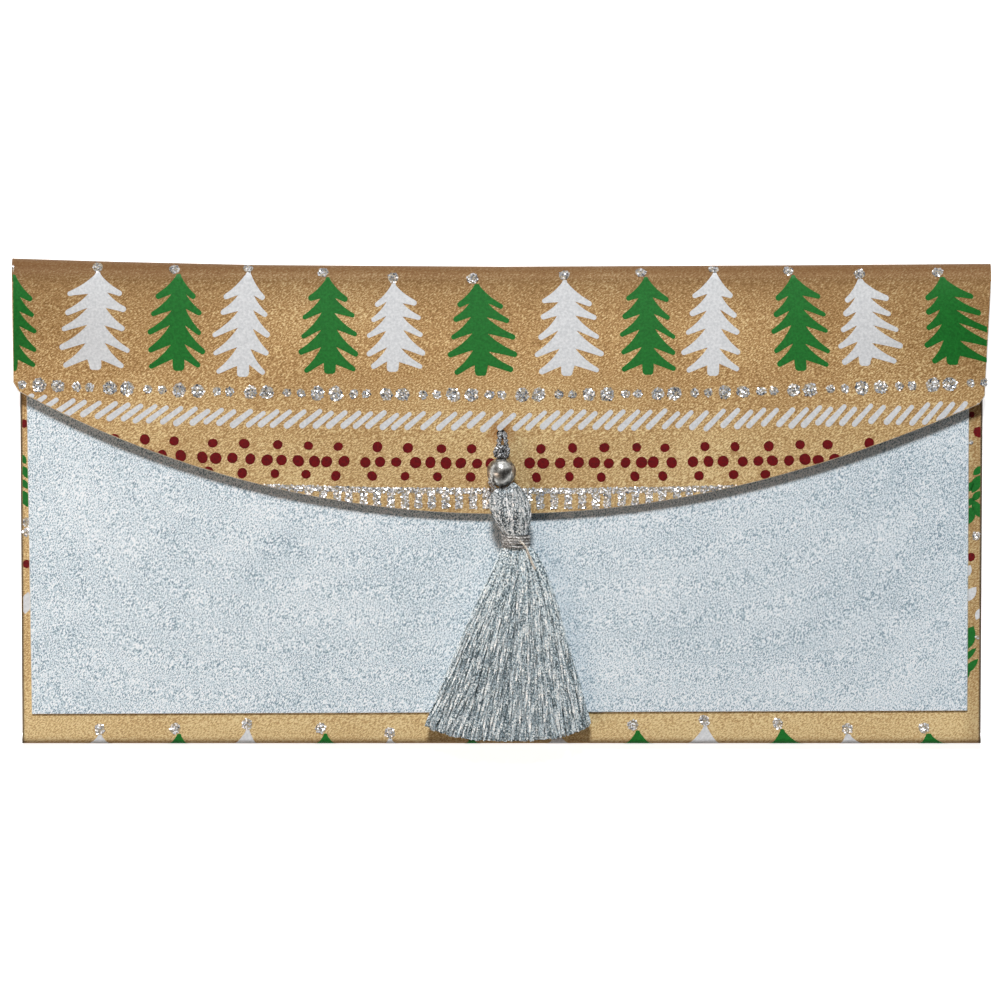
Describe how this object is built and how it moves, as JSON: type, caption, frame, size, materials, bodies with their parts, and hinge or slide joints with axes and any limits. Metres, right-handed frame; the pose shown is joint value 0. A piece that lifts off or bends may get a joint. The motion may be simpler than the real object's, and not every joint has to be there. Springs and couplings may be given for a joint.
{
  "type": "gift envelope",
  "caption": "Landscape paper gift envelope with a curved hinged flap, a swollen pocket, a glued front panel, and a bead and tassel hung from the flap.",
  "frame": {"origin": "middle of the envelope's back face, at the level of the table it lies on", "axes": "+X along its width, +Y towards the top fold, +Z out of its front"},
  "size_m": [0.203, 0.0995, 0.014],
  "materials": {
    "gold_paper": "embossed metallic",
    "silver_paper": "textured metallic",
    "silver_thread": "metallic thread",
    "binding_thread": "thread",
    "bead_metal": "antique silver"
  },
  "bodies": {
    "envelope": {"back_panel": "gold_paper", "front_panel": "gold_paper", "left_glue_tab": "gold_paper", "right_glue_tab": "gold_paper", "silver_panel": "silver_paper", "top_fold": "gold_paper"},
    "flap": {"flap": "gold_paper"},
    "cord_anchor": {"hanging_cord": "silver_thread", "stop_knot": "silver_thread", "cord_bend": "silver_thread"},
    "tassel": {"tassel_cord": "silver_thread", "bead_knot": "silver_thread", "tassel_head": "silver_thread", "neck_binding": "binding_thread", "tassel_skirt": "silver_thread"},
    "bead": {"bead": "bead_metal"}
  },
  "joints": [
    {"name": "flap_hinge", "type": "hinge", "parent": "envelope", "child": "flap", "pos_m": [0, 0.04607, 0.00367], "axis": [-1, 0, 0], "range_deg": [0, 170], "deforming": ["top_fold"]},
    {"name": "tassel_swing", "type": "hinge", "parent": "flap", "child": "cord_anchor", "pos_m": [0, 0.01445, 0.00835], "axis": [0, -0.0874, 0.9962], "range_deg": [-30, 30]},
    {"name": "tassel_lift", "type": "hinge", "parent": "cord_anchor", "child": "tassel", "pos_m": [0, 0.01431, 0.01], "axis": [1, 0, 0], "range_deg": [-150, 0], "deforming": ["cord_bend"]},
    {"name": "bead_spin", "type": "hinge", "parent": "tassel", "child": "bead", "pos_m": [0, 0.00629, 0.011], "axis": [0, -0.9962, -0.0874], "continuous": true}
  ]
}
